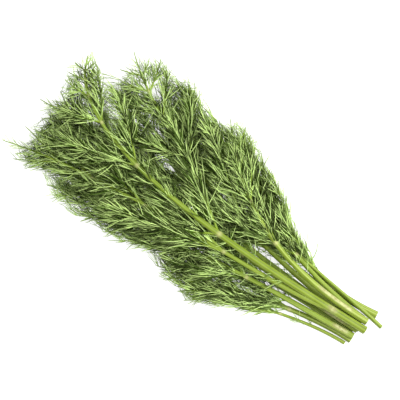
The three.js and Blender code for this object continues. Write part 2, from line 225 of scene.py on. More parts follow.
# Towards a leaf's tip its threads are slimmer, more and wider apart: each pair is for its root
# and for its tip.
THREAD_RADIUS = (0.42, 0.22)
FORWARD = (0.8, 0.15)  # how far the extra pinnules lean with their leaf
TWIG_CHANCE = (0.5, 0.95)  # of a twig at each place
WIDENING = (1.1, 3.2)  # of the angles above
# Every thread
THREAD_CORNERS = np.radians([90, 210, 330])
THREAD_TAPER = 0.45  # how much of its radius it loses before its point
TAPER_POWER = 1.5
TABLE_ROOM = 1.1  # its middle is at least this much of its radius above the table at its root
TABLE_DROP = 0.6  # and this much less at its tip
SHADE_SPREAD = 1.1  # so wide that most threads are either dark or pale; the dark ones are partly painted shade, standing for the shadowed gaps between threads
STALK_SAMPLES = (0.25, 0.5, 0.75, 1.0)  # where along a thread it keeps off the other stems' stalks
STALK_GAP = 0.25
# Maps of the bunch
STRAND_SAMPLES = 6
CELL = 3.0  # of the map of the bunch's top and underside
WIDE_CELL = 7.0  # of the map of how thick it is
THICK = 85  # samples in a wide cell where the bunch is thick
EDGE_CELLS = 3  # how far from the bunch's edge its threads are sparser, and paler with painted light
EDGE_COVER = (0.5, 0.9)  # how much of the cells around is covered at the edge and well inside it
EDGE_THINNING = 0.95  # of the twigs are left out right at the edge
INNER_DEPTH = 5.0  # threads this deep inside the bunch get their darkest painted shade

# ---------------------------------------------------------------- colours and the scene around
# Linear red, green and blue
# A random tone for each thread, whose near-black end is painted shade for the gaps between threads
THREAD_SHADES = [
    (0.0, (0.006, 0.014, 0.0005)),
    (0.5, (0.053, 0.12, 0.0042)),
    (1.0, (0.585, 0.775, 0.262)),
]
THREAD_TIP = (0.36, 0.46, 0.15)
# painted shade: threads deep inside the bunch are darkened towards this colour
THREAD_PAINTED_SHADE = (0.012, 0.025, 0.001)
# painted light: threads at the bunch's edge are paled towards this colour, as if lit through from
# the table
THREAD_PAINTED_EDGE_LIGHT = (0.42, 0.60, 0.16)
STALK_GREENS = [  # along the stalk, from its cut end
    (0.0, (0.20, 0.25, 0.03)),
    (0.35, (0.175, 0.24, 0.015)),
    (0.8, (0.16, 0.24, 0.018)),
    (1.0, (0.15, 0.24, 0.02)),
]
DARK_TONE = (0.11, 0.19, 0.012)
DARK_STREAK = (0.06, 0.09, 0.003)
PALE_STREAK = (0.36, 0.43, 0.12)
PALE_PATCH = (0.26, 0.34, 0.06)
NODE_COLOUR = (0.40, 0.38, 0.18)
PALE_SHEATH = (0.42, 0.43, 0.21)
BROWN_SHEATH = (0.27, 0.235, 0.11)
PITH = (0.46, 0.50, 0.25)
NOISE_DETAIL = 3.0
FLOOR_GREY = 0.35
FLOOR_GLOW = 0.78  # it keeps the shadows faint
# Metres
FLOOR_HALF = 3.0
FLOOR_LEVEL = -0.0001
LIGHTS = [  # name, place, size and power in watts
    ("key", (0.4, 0.6, 1.1), 1.0, 32.0),
    ("fill", (-0.9, -0.5, 1.0), 1.2, 5.0),
]
WORLD_LIGHT = 0.8
# Millimetres again
CAMERA_TURN = math.radians(35.63)  # the bunch lies at this angle to the picture's sides
CAMERA_TARGET = (-9.3, 0.2, 18.0)
CAMERA_HEIGHT = 2500.0
FIELD = 288.0  # how much of the target's level the picture's width shows
SENSOR = 36.0


# ---------------------------------------------------------------- curves and distances
class Draws:
    """Seeded numbers, the same on every run and the same as the solids use."""

    def __init__(self, seed):
        self.state = (seed * 2654435761) & 0xFFFFFFFF
        self.step()

    def step(self):
        self.state = (self.state * 1664525 + 1013904223) & 0xFFFFFFFF
        return self.state / 4294967296

    def __call__(self, low, high):
        return low + (high - low) * self.step()


def mix(low, high, share):
    return low + (high - low) * share


def unit(vector):
    return vector / np.linalg.norm(vector, axis=-1, keepdims=True)


class Curve:
    """A Bezier curve of two or three degrees, or the end of one."""

    def __init__(self, controls, start=0.0):
        self.controls = np.array(controls, float)
        self.start = start

    def point(self, share):
        t = mix(self.start, 1.0, np.asarray(share, float)[..., None])
        degree = len(self.controls) - 1
        return sum(
            math.comb(degree, i) * (1 - t) ** (degree - i) * t**i * control
            for i, control in enumerate(self.controls)
        )

    def along(self, share):
        share = np.asarray(share, float)
        step = 1e-4
        before = self.point(np.maximum(share - step, 0))
        after = self.point(np.minimum(share + step, 1))
        return unit(after - before)

    def frame(self, share):
        """The point there, the way along, and the level and upward directions across."""
        along = self.along(share)
        side = unit(np.cross(UP, along))
        return {
            "point": self.point(share),
            "along": along,
            "side": side,
            "up": np.cross(along, side),
        }


def across(there, azimuth):
    return math.cos(azimuth) * there["side"] + math.sin(azimuth) * there["up"]


def keep_in_box(point, margin=0.0):
    low = (margin - HALF_LENGTH, margin - HALF_WIDTH, margin)
    high = (HALF_LENGTH, HALF_WIDTH - margin, HEIGHT - margin)
    return np.clip(point, low, high)


def segment_distances(p, d, starts, runs):
    """The least distance from the segment p, p + d to each of the others."""
    r = p - starts
    aa = d @ d
    bb = (runs * runs).sum(1)
    ab = runs @ d
    ar = r @ d
    br = (runs * r).sum(1)
    denominator = aa * bb - ab * ab
    apart = denominator > 1e-9
    s = np.where(apart, np.clip((ab * br - ar * bb) / np.where(apart, denominator, 1), 0, 1), 0)
    t = (ab * s + br) / bb
    s = np.where(t < 0, np.clip(-ar / aa, 0, 1), np.where(t > 1, np.clip((ab - ar) / aa, 0, 1), s))
    t = np.clip(t, 0, 1)
    return np.linalg.norm(r + d * s[:, None] - runs * t[:, None], axis=1)


# ---------------------------------------------------------------- the leaves' skeleton
# The columns of a strand's row
START = slice(0, 3)
RUN = slice(3, 6)
RADIUS = 6
STEM = 7
SPRAY = 8
WHORL = 9
NONE = -1  # the spray or whorl of a strand that has none


class Strands:
    """Every strand placed so far, as round-ended segments that later ones keep clear of."""

    def __init__(self):
        self.rows = []
        self.kept_table = None

    def add(self, start, end, radius, stem, spray=NONE, whorl=NONE):
        self.rows.append((*start, *(end - start), radius, stem, spray, whorl))
        self.kept_table = None

    def table(self):
        if self.kept_table is None:
            self.kept_table = np.array(self.rows)
        return self.kept_table

    def clear(self, start, end, radius, stem, spray=NONE, whorl=NONE):
        """Whether a strand misses the other stems, and a leaflet its own stem's and its core."""
        rows = self.table()
        run = end - start
        own = rows[:, STEM] == stem
        if whorl == NONE:
            rows = rows[~own]
            own = beside = np.zeros(len(rows), bool)
        else:
            core = own & (rows[:, WHORL] == NONE)
            same_whorl = own & (rows[:, SPRAY] == spray) & (rows[:, WHORL] == whorl)
            matters = ~core | (rows[:, SPRAY] == spray)
            beside = (same_whorl | core)[matters]
            own = own[matters]
            rows = rows[matters]
        room = radius + rows[:, RADIUS] + np.where(own, OWN_GAP, GAP)
        gaps = segment_distances(start, run, rows[:, START], rows[:, RUN])
        if not (gaps >= room)[~beside].all():
            return False
        return clear_past_root(start, run, rows[beside])


def clear_past_root(start, run, beside):
    """Whether a leaflet leaves its own core and the rest of its whorl soon enough."""
    cut = np.where(beside[:, WHORL] == NONE, 0.0, ROOT_SHARE)[:, None]
    starts = beside[:, START] + beside[:, RUN] * cut
    runs = beside[:, RUN] * (1 - cut)
    gaps = segment_distances(start + run * ROOT_SHARE, run * (1 - ROOT_SHARE), starts, runs)
    return bool((gaps >= ROOT_ROOM).all())


def along_points(points, radii, stem, spray=NONE):
    """The strands from each point of a line to the next."""
    return [
        (points[i], points[i + 1], max(radii[i], radii[i + 1]), stem, spray)
        for i in range(len(points) - 1)
    ]


def core_strands(curve, stem, seed):
    points = curve.point(np.arange(CORE_SAMPLES + 1) / CORE_SAMPLES)
    return along_points(points, [CORE_RADIUS] * len(points), stem, seed)


def pair_places(one):
    return [1 - (1 - one["first"]) * PAIR_RATIO**k for k in range(one["pairs"])]


def whorl_places(length):
    count = min(max(math.floor(length / WHORL_PITCH + 0.5), 1), MOST_WHORLS)
    first = FIRST_WHORL[0] if length > LONG_PINNA else FIRST_WHORL[1]
    return [1 - (1 - first) * WHORL_RATIO**j for j in range(count)]


def place_rachises(strands):
    """Every stalk and rachis, which lie where the table says."""
    for s, leaves in enumerate(LEAFY_STEMS):
        for l, one in enumerate(leaves):
            controls = list(one["path"])
            if one["from"] is not None:
                controls.insert(0, leaves[l - 1]["curve"].point(one["from"]))
            one["curve"] = Curve(controls)
            one["end"] = pair_places(one)[-1]
            places = one["end"] * np.arange(RACHIS_STEPS + 1) / RACHIS_STEPS
            radii = mix(one["radius"], RACHIS_TIP_RADIUS, places)
            for strand in along_points(one["curve"].point(places), radii, s):
                strands.add(*strand)


def pinna_curve(there, length, turn, slope, lean):
    """Out from the rachis at an angle, then leaning towards the leaf's tip."""
    out = (
        there["along"] * math.cos(turn)
        + there["side"] * math.sin(turn)
        + UP * math.tan(slope)
    )
    out = unit(out)
    onward = unit(mix(out, there["along"], lean))
    elbow = there["point"] + out * length * 0.5
    tip = elbow + onward * length * 0.5
    return Curve([there["point"], keep_in_box(elbow, CORE_RADIUS), keep_in_box(tip)])


def place_pinna(strands, there, reach, side_sign, one, share, seed, stem):
    """Draws pinnae until one misses every other leafy stem, and shortens it when none does."""
    draw = Draws(seed)
    for attempt in range(4 * TRIES):
        length = reach * draw(*PINNA_JITTER) * SHORTENING ** (attempt // TRIES)
        spread = mix(*one["spread"], share) + draw(-TURN_JITTER, TURN_JITTER)
        slope = math.radians(draw(*one["rise"]))
        curve = pinna_curve(there, length, math.radians(spread) * side_sign, slope, draw(*LEAN))
        cores = core_strands(curve, stem, seed)
        if all(strands.clear(*core) for core in cores):
            for core in cores:
                strands.add(*core)
            return {"curve": curve, "length": length, "seed": seed, "fine": share}
    return None


def place_pairs(strands, one, leaf_seed, stem):
    """A leaf's pinnae, two at each of their places."""
    made = []
    tip = one["curve"].point(1.0)
    for k, t in enumerate(pair_places(one)):
        there = one["curve"].frame(t)
        share = k / (one["pairs"] - 1)
        reach = mix(*PINNA_SHARE, share) * np.linalg.norm(there["point"] - tip)
        for sign in (-1, 1):
            seed = leaf_seed + 10 * k + sign + 2
            pinna = place_pinna(strands, there, reach, sign, one, share, seed, stem)
            if pinna:
                made.append(pinna)
    return made


def place_tip(strands, one, seed, stem):
    """The leaf's own tip past its last pair, as one more spray."""
    curve = Curve(one["curve"].controls, start=one["end"])
    for core in core_strands(curve, stem, seed):
        strands.add(*core)
    length = np.linalg.norm(one["curve"].point(one["end"]) - one["curve"].point(1.0))
    return {"curve": curve, "length": length, "seed": seed, "fine": 1.0}


def place_sprays(strands):
    for s, leaves in enumerate(LEAFY_STEMS):
        for l, one in enumerate(leaves):
            leaf_seed = 1000 * (s + 1) + 100 * l
            one["sprays"] = place_pairs(strands, one, leaf_seed, s)
            one["sprays"].append(place_tip(strands, one, leaf_seed + 99, s))


def whorl_leaflets(turn):
    """The azimuth, angles and share of a whorl's six leaflets, two to a face of the core."""
    made = []
    for middle in FACE_MIDDLES:
        sideways_face = abs(math.cos(math.radians(turn + middle))) > 0.5
        for veer, angles, share in SIDE_LEAFLETS if sideways_face else LEVEL_LEAFLETS:
            made.append((turn + middle + veer, angles, share))
    return made


def place_leaflets(strands, spray, stem):
    """The solids' own leaflets, which are the main pinnules here."""
    draw = Draws(spray["seed"])
    spray["pinnules"] = []
    for j, u in enumerate(whorl_places(spray["length"])):
        there = spray["curve"].frame(u)
        reach = (1 - u) * spray["length"] * LEAFLET_SHARE
        long_reach = min(max(reach, LEAFLET_LENGTH[0]), LEAFLET_LENGTH[1])
        for middle, angles, share in whorl_leaflets(RIDGE_UP - WHORL_TURN * j):
            for _ in range(TRIES):
                azimuth = math.radians(middle + draw(-AZIMUTH_JITTER, AZIMUTH_JITTER))
                angle = math.radians(draw(*angles))
                long = long_reach * share * draw(*LEAFLET_JITTER)
                way = math.cos(angle) * there["along"] + math.sin(angle) * across(there, azimuth)
                apex = keep_in_box(there["point"] + way * long)
                leaflet = (there["point"], apex, LEAFLET_RADIUS, stem, spray["seed"], j)
                if strands.clear(*leaflet):
                    strands.add(*leaflet)
                    spray["pinnules"].append((there["point"], apex, there["along"]))
                    break


def place_bunch():
    """Places every strand as the solids do. Returns them, and the rows of the stalks alone."""
    strands = Strands()
    place_rachises(strands)
    stalks = strands.table()
    place_sprays(strands)
    for s, leaves in enumerate(LEAFY_STEMS):
        for one in leaves:
            for spray in one["sprays"]:
                place_leaflets(strands, spray, s)
    return strands, stalks


# ---------------------------------------------------------------- meshes
class Skin:
    """Vertices, triangles and one number of each kind for every vertex."""

    def __init__(self, *kinds):
        self.points = []
        self.triangles = []
        self.values = {kind: [] for kind in kinds}
        self.count = 0

    def add(self, points, triangles, **values):
        self.points.append(points.reshape(-1, 3))
        self.triangles.append(triangles.reshape(-1, 3) + self.count)
        added = len(self.points[-1])
        for kind, kept in self.values.items():
            kept.append(np.broadcast_to(np.asarray(values.get(kind, 0.0)), (added,)))
        self.count += added

    def mesh(self, name):
        """The smooth-shaded mesh, inside the solids' box."""
        low = np.array(CAD_BOX[0]) / MM
        high = np.array(CAD_BOX[1]) / MM
        points = np.clip(np.concatenate(self.points), low, high)
        triangles = np.concatenate(self.triangles).astype(np.int32)
        mesh = bpy.data.meshes.new(name)
        mesh.vertices.add(len(points))
        mesh.vertices.foreach_set("co", (points * MM).ravel())
        mesh.loops.add(triangles.size)
        mesh.loops.foreach_set("vertex_index", triangles.ravel())
        mesh.polygons.add(len(triangles))
        mesh.polygons.foreach_set("loop_start", np.arange(0, triangles.size, 3, dtype=np.int32))
        mesh.polygons.foreach_set("use_smooth", np.ones(len(triangles), bool))
        mesh.update(calc_edges=True)
        return mesh

    def piece(self, name, material):
        mesh = self.mesh(name)
        for kind, kept in self.values.items():
            layer = mesh.attributes.new(kind, "FLOAT", "POINT")
            layer.data.foreach_set("value", np.concatenate(kept).astype(np.float32))
        mesh.materials.append(material)
        piece = bpy.data.objects.new(name, mesh)
        bpy.context.scene.collection.objects.link(piece)
        return piece


def band(rear, front, sides):
    """The triangles between two rings that start at the vertices rear and front."""
    k = np.arange(sides)
    n = (k + 1) % sides
    return np.concatenate(
        [
            np.stack([rear + k, rear + n, front + n], 1),
            np.stack([rear + k, front + n, front + k], 1),
        ]
    )


def fan(ring, apex, sides):
    """The triangles from the ring that starts at the vertex ring to the vertex apex."""
    k = np.arange(sides)
    return np.stack([ring + k, ring + (k + 1) % sides, np.full(sides, apex)], 1)


def tube(count, sides):
    """The triangles along a row of rings that starts at vertex 0 and ends in a point."""
    bands = [band(sides * i, sides * (i + 1), sides) for i in range(count - 1)]
    return np.concatenate([*bands, fan(sides * (count - 1), sides * count, sides)])


def start_cap(sides):
    """The triangles that close the first ring."""
    return np.stack([np.zeros(sides - 2, int), np.arange(2, sides), np.arange(1, sides - 1)], 1)


def spokes(side, up, angles):
    """The directions at these angles between each level and upward direction."""
    return side[..., None, :] * np.cos(angles)[:, None] + up[..., None, :] * np.sin(angles)[:, None]


def rings(points, along, radii, sides, ripple=0.0):
    """Rings of vertices across a line of points. ripple raises every other vertex as a rib."""
    side = unit(np.cross(UP, along))
    up = np.cross(along, side)
    angles = 2 * np.pi * np.arange(sides) / sides
    rib = 1 + ripple * np.where(np.arange(sides) % 2, -1, 1)
    return points[:, None] + spokes(side, up, angles) * (radii[:, None] * rib[None])[..., None]


# ---------------------------------------------------------------- stalks and cores
def stalk_radius(one, t):
    """A stalk's radius, with its swellings where pinnae grow, and how far each place is in one."""
    radius = mix(one["radius"], RACHIS_TIP_RADIUS, t)
    run = np.linalg.norm(one["curve"].point(1.0) - one["curve"].point(0.0))
    swell = sum(np.exp(-(((t - place) * run / NODE_HALF) ** 2)) for place in pair_places(one))
    return radius * (1 + NODE_SWELL * swell), np.clip(swell, 0, 1)


def sheath_values(stem, one, t):
    """How far each vertex of a stalk belongs to a sheath, from 0 to 1."""
    values = np.zeros((len(t), STALK_SIDES))
    if one["from"] is not None:
        return values
    cut = one["curve"].point(0.0)
    far = np.linalg.norm(one["curve"].point(t) - cut, axis=1)[:, None]
    around = 360 * np.arange(STALK_SIDES)[None] / STALK_SIDES
    for owner, (start, end), middle, half in SHEATHS:
        if owner == stem + 1:
            off = np.abs((around - middle + 180) % 360 - 180)
            lengthwise = np.clip(np.minimum(far - start, end - far) / SHEATH_FADE, 0, 1)
            crosswise = np.clip(SHEATH_FULL * (1 - off / half), 0, 1)
            values = np.maximum(values, lengthwise * crosswise)
    return values


def stalk_places(one):
    """Where a stalk's rings lie along it, closer together at its nodes."""
    even = one["end"] * np.linspace(0, 1, STALK_RINGS)
    near_nodes = [place + shift for place in pair_places(one) for shift in NODE_RINGS]
    return np.unique(np.clip(np.concatenate([even, near_nodes]), 0, one["end"]))


def add_stalk(skin, one, stem, chance):
    """A ribbed and streaked stalk and rachis, which end in a point."""
    t = stalk_places(one)
    there = one["curve"].frame(t)
    radii, node = stalk_radius(one, t)
    sheath = sheath_values(stem, one, t)
    middles = there["point"][:, None]
    ring = rings(there["point"], there["along"], radii, STALK_SIDES, RIB_DEPTH)
    ring = middles + (ring - middles) * (1 + SHEATH_SWELL * sheath[..., None])
    tip = there["point"][-1] + there["along"][-1] * radii[-1]
    streaks = np.clip(chance.normal(0.5, STREAK_SPREAD, STALK_SIDES), 0, 1)
    skin.add(
        np.concatenate([ring.reshape(-1, 3), tip[None]]),
        tube(len(t), STALK_SIDES),
        along=np.append(np.repeat(t, STALK_SIDES), t[-1]),
        node=np.append(np.repeat(node, STALK_SIDES), 1.0),
        streak=np.append(np.tile(streaks, len(t)), 0.5),
        sheath=np.append(sheath.ravel(), 0.0),
        tone=TONES[stem],
    )
    add_cut_end(skin, there, radii[0], TONES[stem], PITH_DEPTH if one["from"] is None else 0.0)


def add_cut_end(skin, there, radius, tone, depth):
    """The end of a stalk: a paler rim and pith, sunk by depth. A branch's lies inside its parent."""
    end = there["point"][0]
    inwards = there["along"][0]
    count = len(CUT_RINGS)
    centres = end + inwards * np.array([0.0, 0.0, depth])[:, None]
    along = np.repeat(inwards[None], count, 0)
    ring = rings(centres, along, radius * CUT_RINGS, STALK_SIDES, RIB_DEPTH)
    middle = end + inwards * depth * PITH_DISH
    bands = [band(STALK_SIDES * (i + 1), STALK_SIDES * i, STALK_SIDES) for i in range(count - 1)]
    inner = fan(STALK_SIDES * (count - 1), STALK_SIDES * count, STALK_SIDES)[:, [1, 0, 2]]
    skin.add(
        np.concatenate([ring.reshape(-1, 3), middle[None]]),
        np.concatenate([*bands, inner]),
        streak=0.5,
        tone=tone,
        pith=np.append(np.repeat(CUT_PITH, STALK_SIDES), 1.0),
    )


def add_core(skin, spray, stem):
    """A pinna's own slim stalk, which ends in a point."""
    t = np.linspace(0, 1, CORE_RINGS)[:-1]
    there = spray["curve"].frame(t)
    root = CORE_ROOT + CORE_GROWTH * spray["length"]
    radii = mix(root, CORE_TIP, t**CORE_TAPER)
    ring = rings(there["point"], there["along"], radii, CORE_SIDES)
    skin.add(
        np.concatenate([ring.reshape(-1, 3), spray["curve"].point(1.0)[None]]),
        np.concatenate([tube(len(t), CORE_SIDES), start_cap(CORE_SIDES)]),
        along=np.append(np.repeat(mix(CORE_ALONG, 1.0, t), CORE_SIDES), 1.0),
        streak=0.6,
        tone=TONES[stem],
    )


# ---------------------------------------------------------------- threads
class Threads:
    """Slim threads along quadratic curves, each as fine as its place on the leaf makes it."""

    def __init__(self, starts, elbows, tips, fine):
        self.starts = starts
        self.elbows = elbows
        self.tips = tips
        self.fine = fine

    def where(self, kept):
        return Threads(self.starts[kept], self.elbows[kept], self.tips[kept], self.fine[kept])

    def point(self, t):
        """The point of each thread at its own t."""
        t = t[:, None]
        return (1 - t) ** 2 * self.starts + 2 * t * (1 - t) * self.elbows + t**2 * self.tips

    def points(self, shares):
        """The points of every thread at each of the shares."""
        return np.stack([self.point(np.full(len(self.starts), share)) for share in shares], 1)

    def way(self, t):
        t = t[:, None]
        return unit((1 - t) * (self.elbows - self.starts) + t * (self.tips - self.elbows))

    def run(self):
        return np.linalg.norm(self.tips - self.starts, axis=1)


def sideways(way):
    """The level and the upward directions across each way, an upright one too."""
    side = unit(np.cross(UP + 1e-4, way))
    return side, np.cross(way, side)


class Canopy:
    """Maps of the bunch from above: its top and underside, and how many strands lie there."""

    def __init__(self, strands):
        rows = strands.table()
        shares = np.linspace(0, 1, STRAND_SAMPLES)[:, None, None]
        points = (rows[:, START] + shares * rows[:, RUN]).reshape(-1, 3)
        self.top = self.blank(CELL, 0.0)
        self.bottom = self.blank(CELL, HEIGHT)
        self.samples = self.blank(WIDE_CELL, 0.0)
        cells = self.cells(points, CELL)
        np.maximum.at(self.top, cells, points[:, 2])
        np.minimum.at(self.bottom, cells, points[:, 2])
        np.add.at(self.samples, self.cells(points, WIDE_CELL), 1)
        self.openness = self.open_surroundings()

    def blank(self, size, value):
        return np.full((int(2 * HALF_LENGTH / size) + 2, int(2 * HALF_WIDTH / size) + 2), value)

    def cells(self, points, size):
        x = np.clip((points[..., 0] + HALF_LENGTH) / size, 0, 2 * HALF_LENGTH / size)
        y = np.clip((points[..., 1] + HALF_WIDTH) / size, 0, 2 * HALF_WIDTH / size)
        return x.astype(int), y.astype(int)

    def open_surroundings(self):
        """How much of each cell's surroundings is open, from 0 inside the bunch to 1."""
        covered = np.pad((self.top > 0).astype(float), EDGE_CELLS)
        rows, columns = self.top.shape
        shifts = range(2 * EDGE_CELLS + 1)
        near = [covered[i : i + rows, j : j + columns] for i in shifts for j in shifts]
        least, most = EDGE_COVER
        return np.clip((most - np.mean(near, axis=0)) / (most - least), 0, 1)

    def edge(self, points):
        """How near the bunch's edge each point lies, from 0 well inside it to 1."""
        return self.openness[self.cells(points, CELL)]

    def covers(self, points):
        return self.top[self.cells(points, CELL)] > 0

    def thinness(self, points):
        return 1 - np.clip(self.samples[self.cells(points, WIDE_CELL)] / THICK, 0, 1)

    def inner(self, points):
        """How deep each point lies inside the bunch, from 0 at its outside to 1."""
        cells = self.cells(points, CELL)
        height = points[..., 2]
        depth = np.minimum(self.top[cells] - height, height - self.bottom[cells])
        return np.clip(depth / INNER_DEPTH, 0, 1)


def thread_points(threads, radii, t):
    """Each thread's three-sided rings, and its tip, all of them above the table."""
    line = threads.points(t)
    line[..., 2] = np.maximum(line[..., 2], radii * (TABLE_ROOM - TABLE_DROP * t))
    way = np.empty_like(line)
    way[:, 1:-1] = line[:, 2:] - line[:, :-2]
    way[:, 0] = line[:, 1] - line[:, 0]
    way[:, -1] = line[:, -1] - line[:, -2]
    side, up = sideways(unit(way[:, :-1]))
    widths = radii * (1 - THREAD_TAPER * t[:-1] ** TAPER_POWER)
    ring = line[:, :-1, None] + spokes(side, up, THREAD_CORNERS) * widths[:, :, None, None]
    return np.concatenate([ring.reshape(len(line), -1, 3), line[:, -1:]], axis=1)


def add_threads(skin, threads, share, steps, canopy, chance):
    """Draws three-sided threads that narrow to a point. Each has a random shade from 0, dark, to 1,
    whose darkest end is partly painted shade.
    """
    t = np.linspace(0, 1, steps + 1)
    radii = share * mix(*THREAD_RADIUS, threads.fine)[:, None]
    points = thread_points(threads, radii, t)
    count, own_points = points.shape[:2]
    triangles = np.concatenate([start_cap(3), tube(steps, 3)])
    shades = np.clip(chance.normal(0.5, SHADE_SPREAD, count), 0, 1)
    skin.add(
        points,
        triangles + own_points * np.arange(count)[:, None, None],
        shade=np.repeat(shades, own_points),
        reach=np.tile(np.append(np.repeat(t[:-1], 3), 1.0), count),
        inner=canopy.inner(points).ravel(),
        edge=canopy.edge(points).ravel(),
    )


# ---------------------------------------------------------------- pinnules and their twigs
def extra_pinnules(curve, places, reaches, forward, fine, azimuths, chance):
    """More pinnules along a pinna or a rachis, between the solids' whorls."""
    made = []
    for i, (place, reach) in enumerate(zip(places, reaches)):
        there = curve.frame(np.clip(place + chance.uniform(-PLACE_JITTER, PLACE_JITTER), 0, 1))
        for azimuth in azimuths[i % 2]:
            turned = math.radians(azimuth + chance.normal(0, AZIMUTH_SPREAD))
            angle = math.radians(chance.uniform(*PINNULE_ANGLE) * mix(*WIDENING, fine))
            way = math.cos(angle) * there["along"] + math.sin(angle) * across(there, turned)
            way = unit(way + forward)
            tip = there["point"] + way * reach * chance.uniform(*REACH_SHARE)
            made.append((there["point"], tip, there["along"], fine))
    return made


def pinna_pinnules(spray, forward, chance):
    count = max(int(spray["length"] * PINNULE_COVER / PINNULE_PITCH), LEAST_PLACES)
    places = np.linspace(*PINNULE_SPAN, count)
    reaches = np.clip((1 - places) * spray["length"] * LEAFLET_SHARE, *PINNULE_REACH)
    return extra_pinnules(
        spray["curve"], places, reaches, forward, spray["fine"], PINNA_SIDES, chance
    )


def short_pinnules(curve, places, fine, azimuths, chance):
    reaches = chance.uniform(*RACHIS_REACH, len(places))
    return extra_pinnules(curve, places, reaches, np.zeros(3), fine, azimuths, chance)


def rachis_pinnules(one, first, azimuths, chance):
    """A rachis's own short pinnules, from its place first to its last pair of pinnae."""
    last = one["end"]
    span = np.linalg.norm(one["curve"].point(first) - one["curve"].point(last))
    places = np.linspace(first, last, max(int(span / RACHIS_PITCH), LEAST_RACHIS_PLACES))
    return short_pinnules(one["curve"], places, RACHIS_FINE, azimuths, chance)


def all_pinnules(leaves, stem, chance):
    """The pinnules that stay, the solids' own among them, and those that may be left out."""
    own, extra = [], []
    if stem + 1 == TUFT_STEM:
        own += short_pinnules(leaves[0]["curve"], TUFT_PLACES, 1.0, TUFT_SIDES, chance)
    for one in leaves:
        extra += rachis_pinnules(one, RACHIS_START * one["first"], RACHIS_SIDES, chance)
        if stem + 1 != BARE_ABOVE:
            own += rachis_pinnules(one, one["first"], RACHIS_TOP, chance)
        way = one["curve"].along(pair_places(one)[0])
        for spray in one["sprays"]:
            own += [(*pinnule, spray["fine"]) for pinnule in spray["pinnules"]]
            extra += pinna_pinnules(spray, mix(*FORWARD, spray["fine"]) * way, chance)
    return own, extra


def pinnule_threads(leaves, stem, canopy, chance):
    """The pinnules, with more of the extra ones where the bunch is thin."""
    own, extra = all_pinnules(leaves, stem, chance)
    starts, tips, along, fine = (np.array(column) for column in zip(*own, *extra))
    thinness = canopy.thinness((starts + tips) / 2)
    kept = chance.random(len(starts)) < mix(*PINNULE_CHANCE, thinness) * (starts[:, 0] < BARE)
    kept[: len(own)] = True
    starts, tips, along, fine = starts[kept], tips[kept], along[kept], fine[kept]
    run = np.linalg.norm(tips - starts, axis=1)[:, None]
    bend = chance.normal(0, PINNULE_BEND, tips.shape) - PINNULE_BOW * along
    return Threads(starts, (starts + tips) / 2 + bend * run, tips, fine)


def twig_threads(pinnules, place, chance):
    """A twig from most of the pinnules, from about the same place along each."""
    parents = pinnules.where(chance.random(len(pinnules.fine)) < mix(*TWIG_CHANCE, pinnules.fine))
    count = len(parents.fine)
    t = np.clip(place + chance.uniform(-TWIG_JITTER, TWIG_JITTER, count), 0, 1)
    way = parents.way(t)
    side, up = sideways(way)
    azimuth = chance.uniform(0, 2 * np.pi, count)[:, None]
    spoke = np.cos(azimuth) * side + FLATNESS * np.sin(azimuth) * up
    angle = np.radians(chance.uniform(*TWIG_ANGLE, count) * mix(*WIDENING, parents.fine))[:, None]
    out = unit(np.cos(angle) * way + np.sin(angle) * spoke)
    reach = parents.run() * (1 - t) * chance.uniform(*REACH_SHARE, count)
    long = (reach + TWIG_LEAST)[:, None]
    roots = parents.point(t)
    elbows = roots + unit(out + TWIG_BOW * spoke) * long * 0.5
    return Threads(roots, elbows, roots + out * long, parents.fine)


def misses_stalks(threads, stem, stalks):
    """Whether each thread stays outside the other stems' stalks."""
    points = threads.points(STALK_SAMPLES).reshape(-1, 3)
    nearest = np.full(len(points), np.inf)
    for row in stalks[stalks[:, STEM] != stem]:
        start, run = row[START], row[RUN]
        share = np.clip((points - start) @ run / (run @ run), 0, 1)
        gap = np.linalg.norm(points - start - share[:, None] * run, axis=1) - row[RADIUS]
        nearest = np.minimum(nearest, gap)
    return (nearest.reshape(-1, len(STALK_SAMPLES)) > STALK_GAP).all(1)


def add_foliage(skin, leaves, stem, stalks, canopy, chance):
    """Pinnules, and the finer twigs along them, no further out than the solids' own leaflets."""

    def draw(threads, share, steps, thinning):
        kept = misses_stalks(threads, stem, stalks) & canopy.covers(threads.tips)
        kept &= chance.random(len(kept)) >= thinning * canopy.edge(threads.tips)
        threads = threads.where(kept)
        add_threads(skin, threads, share, steps, canopy, chance)
        return threads

    pinnules = draw(pinnule_threads(leaves, stem, canopy, chance), 1.0, PINNULE_STEPS, 0.0)
    for place in TWIG_PLACES:
        draw(twig_threads(pinnules, place, chance), TWIG_RADIUS, TWIG_STEPS, EDGE_THINNING)


# ---------------------------------------------------------------- materials
def node_material(name, roughness, specular):
    material = bpy.data.materials.new(name)
    material.use_nodes = True
    shader = material.node_tree.nodes["Principled BSDF"]
    shader.inputs["Roughness"].default_value = roughness
    shader.inputs["Specular IOR Level"].default_value = specular
    return material, material.node_tree, shader


def value_of(tree, attribute):
    node = tree.nodes.new("ShaderNodeAttribute")
    node.attribute_name = attribute
    return node.outputs["Fac"]


def ramp(tree, source, stops):
    node = tree.nodes.new("ShaderNodeValToRGB")
    elements = node.color_ramp.elements
    while len(elements) < len(stops):
        elements.new(0.5)
    for element, (place, colour) in zip(elements, stops):
        element.position = place
        element.color = (*colour, 1)
    tree.links.new(source, node.inputs["Fac"])
    return node.outputs["Color"]


def blended(tree, share, first, second):
    """first where share is 0 and second where it is 1; each is a colour or an output."""
    node = tree.nodes.new("ShaderNodeMix")
    node.data_type = "RGBA"
    sockets = {"Factor": share, "A": first, "B": second}
    for key, value in sockets.items():
        kind = "VALUE" if key == "Factor" else "RGBA"
        socket = next(s for s in node.inputs if s.name == key and s.type == kind)
        if isinstance(value, bpy.types.NodeSocket):
            tree.links.new(value, socket)
        else:
            socket.default_value = (*value, 1)
    return next(s for s in node.outputs if s.type == "RGBA")


def scaled(tree, source, factor, offset=0.0):
    node = tree.nodes.new("ShaderNodeMath")
    node.operation = "MULTIPLY_ADD"
    node.use_clamp = True
    tree.links.new(source, node.inputs[0])
    node.inputs[1].default_value = factor
    node.inputs[2].default_value = offset
    return node.outputs[0]


